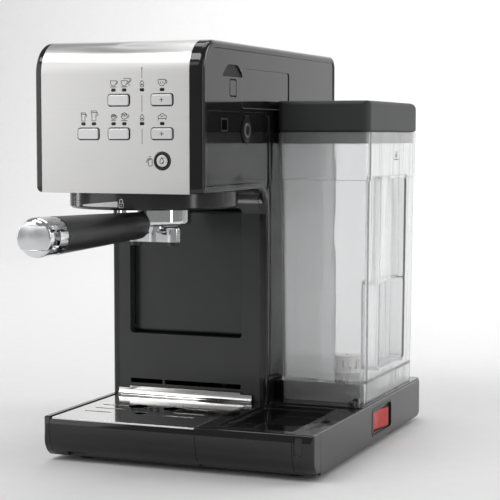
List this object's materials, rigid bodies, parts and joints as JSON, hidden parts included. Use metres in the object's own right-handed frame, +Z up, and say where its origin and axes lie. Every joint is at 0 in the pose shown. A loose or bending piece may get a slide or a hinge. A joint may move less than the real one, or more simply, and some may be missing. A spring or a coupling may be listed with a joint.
{
  "type": "pod coffee machine",
  "caption": "Pump espresso and pod machine with a brushed steel head, locking portafilter, pull-out drip tray, fold-down cup shelf, milk-jug dock and lift-off water tank.",
  "frame": {"origin": "bottom centre of the whole object's box, on the surface that the feet stand on", "axes": "+Z up, -Y out of the front where the portafilter handle points, +X towards the water tank side"},
  "size_m": [0.2204, 0.4226, 0.32],
  "materials": {
    "gloss_black": "high gloss moulded black",
    "dark_grey": "satin-gloss dark grey moulding",
    "satin_black": "satin moulded black",
    "inner_black": "plain moulded black",
    "rubber": "soft black rubber",
    "red_gasket": "silicone",
    "steel": "fine brushed stainless steel",
    "polished_steel": "polished stainless steel",
    "chrome": "bright chrome",
    "silver_button": "satin silver",
    "lamp": "smoked light pipe",
    "clear_tank": "clear moulded copolymer",
    "lid_grey": "fine-textured dark grey",
    "white_plastic": "white acetal",
    "red_lens": "lit translucent red",
    "cast_alloy": "cast aluminium",
    "board_green": "circuit board",
    "hose": "translucent silicone hose",
    "brass_pipe": "drawn copper pipe",
    "zinc": "zinc plated"
  },
  "bodies": {
    "housing": {"base_shell": "gloss_black", "bottom_plate": "inner_black", "rubber_feet": "rubber", "corner_cap": "gloss_black", "corner_insert": "satin_black", "milk_dock": "gloss_black", "tank_platform": "gloss_black", "inlet_boss": "gloss_black", "valve_seat": "satin_black", "top_cover": "gloss_black", "rear_cover": "satin_black", "head_floor": "satin_black", "steel_fascia": "steel", "head_front": "gloss_black", "lamp_windows": "lamp", "control_board": "board_green", "clean_ring": "satin_black", "column_front": "dark_grey", "shelf_pins": "zinc", "left_panel": "gloss_black", "right_panel": "gloss_black", "steam_outlet": "satin_black", "jug_sensor": "satin_black", "group_skirt": "dark_grey", "brew_head": "cast_alloy", "head_gasket": "red_gasket", "shower_screen": "polished_steel", "screen_screw": "polished_steel", "thermoblock": "cast_alloy", "steam_valve": "inner_black", "steam_pipe": "brass_pipe", "water_pump": "white_plastic", "pump_mounts": "rubber", "inlet_hose": "hose", "pressure_hose": "hose", "switch_surround": "satin_black", "cord_gland": "rubber", "cover_screws": "zinc"},
    "portafilter": {"portafilter_body": "chrome", "filter_basket": "polished_steel", "twin_spout": "chrome", "spout_tips": "satin_black", "handle_grip": "satin_black", "handle_collar": "chrome", "handle_cap": "chrome", "handle_rod": "zinc"},
    "drip_tray": {"drip_tray": "gloss_black"},
    "tray_cover": {"tray_cover": "polished_steel"},
    "cup_shelf": {"cup_shelf": "dark_grey"},
    "water_tank": {"water_tank": "clear_tank", "tank_filter": "white_plastic"},
    "tank_valve": {"tank_valve": "white_plastic"},
    "tank_lid": {"tank_lid": "lid_grey"},
    "power_rocker": {"power_rocker": "red_lens"},
    "button_single_shot": {"button_single_shot": "silver_button"},
    "button_manual_shot": {"button_manual_shot": "silver_button"},
    "button_latte": {"button_latte": "silver_button"},
    "button_cappuccino": {"button_cappuccino": "silver_button"},
    "button_froth": {"button_froth": "silver_button"},
    "button_clean": {"button_clean": "silver_button"}
  },
  "joints": [
    {"name": "portafilter_turn", "type": "hinge", "parent": "housing", "child": "portafilter", "pos_m": [-0.04115, -0.02425, 0.19], "axis": [0, 0, 1], "range_deg": [-42, 0]},
    {"name": "drip_tray_slide", "type": "slide", "parent": "housing", "child": "drip_tray", "axis": [0, -1, 0], "range_m": [0, 0.13]},
    {"name": "tray_cover_lift", "type": "slide", "parent": "drip_tray", "child": "tray_cover", "axis": [0, 0, 1], "range_m": [0, 0.05]},
    {"name": "cup_shelf_fold", "type": "hinge", "parent": "housing", "child": "cup_shelf", "pos_m": [-0.04315, 0.04975, 0.0914], "axis": [1, 0, 0], "range_deg": [0, 90]},
    {"name": "water_tank_lift", "type": "slide", "parent": "housing", "child": "water_tank", "axis": [0, 0, 1], "range_m": [0, 0.12]},
    {"name": "tank_lid_hinge", "type": "hinge", "parent": "water_tank", "child": "tank_lid", "pos_m": [0.06945, 0.19675, 0.2548], "axis": [-1, 0, 0], "range_deg": [0, 90]},
    {"name": "tank_valve_slide", "type": "slide", "parent": "water_tank", "child": "tank_valve", "axis": [0, 0, 1], "range_m": [0, 0.0025], "stiffness_N_per_m": 120, "springref_m": -0.002},
    {"name": "power_rocker_tilt", "type": "hinge", "parent": "housing", "child": "power_rocker", "pos_m": [0.10535, 0.08975, 0.019], "axis": [0, 0, 1], "range_deg": [0, 16]},
    {"name": "button_single_shot_press", "type": "slide", "parent": "housing", "child": "button_single_shot", "axis": [0, 1, 0], "range_m": [0, 0.0012], "stiffness_N_per_m": 800, "springref_m": -0.0005},
    {"name": "button_manual_shot_press", "type": "slide", "parent": "housing", "child": "button_manual_shot", "axis": [0, 1, 0], "range_m": [0, 0.0012], "stiffness_N_per_m": 800, "springref_m": -0.0005},
    {"name": "button_latte_press", "type": "slide", "parent": "housing", "child": "button_latte", "axis": [0, 1, 0], "range_m": [0, 0.0012], "stiffness_N_per_m": 800, "springref_m": -0.0005},
    {"name": "button_cappuccino_press", "type": "slide", "parent": "housing", "child": "button_cappuccino", "axis": [0, 1, 0], "range_m": [0, 0.0012], "stiffness_N_per_m": 800, "springref_m": -0.0005},
    {"name": "button_froth_press", "type": "slide", "parent": "housing", "child": "button_froth", "axis": [0, 1, 0], "range_m": [0, 0.0012], "stiffness_N_per_m": 800, "springref_m": -0.0005},
    {"name": "button_clean_press", "type": "slide", "parent": "housing", "child": "button_clean", "axis": [0, 1, 0], "range_m": [0, 0.0012], "stiffness_N_per_m": 800, "springref_m": -0.0005}
  ]
}
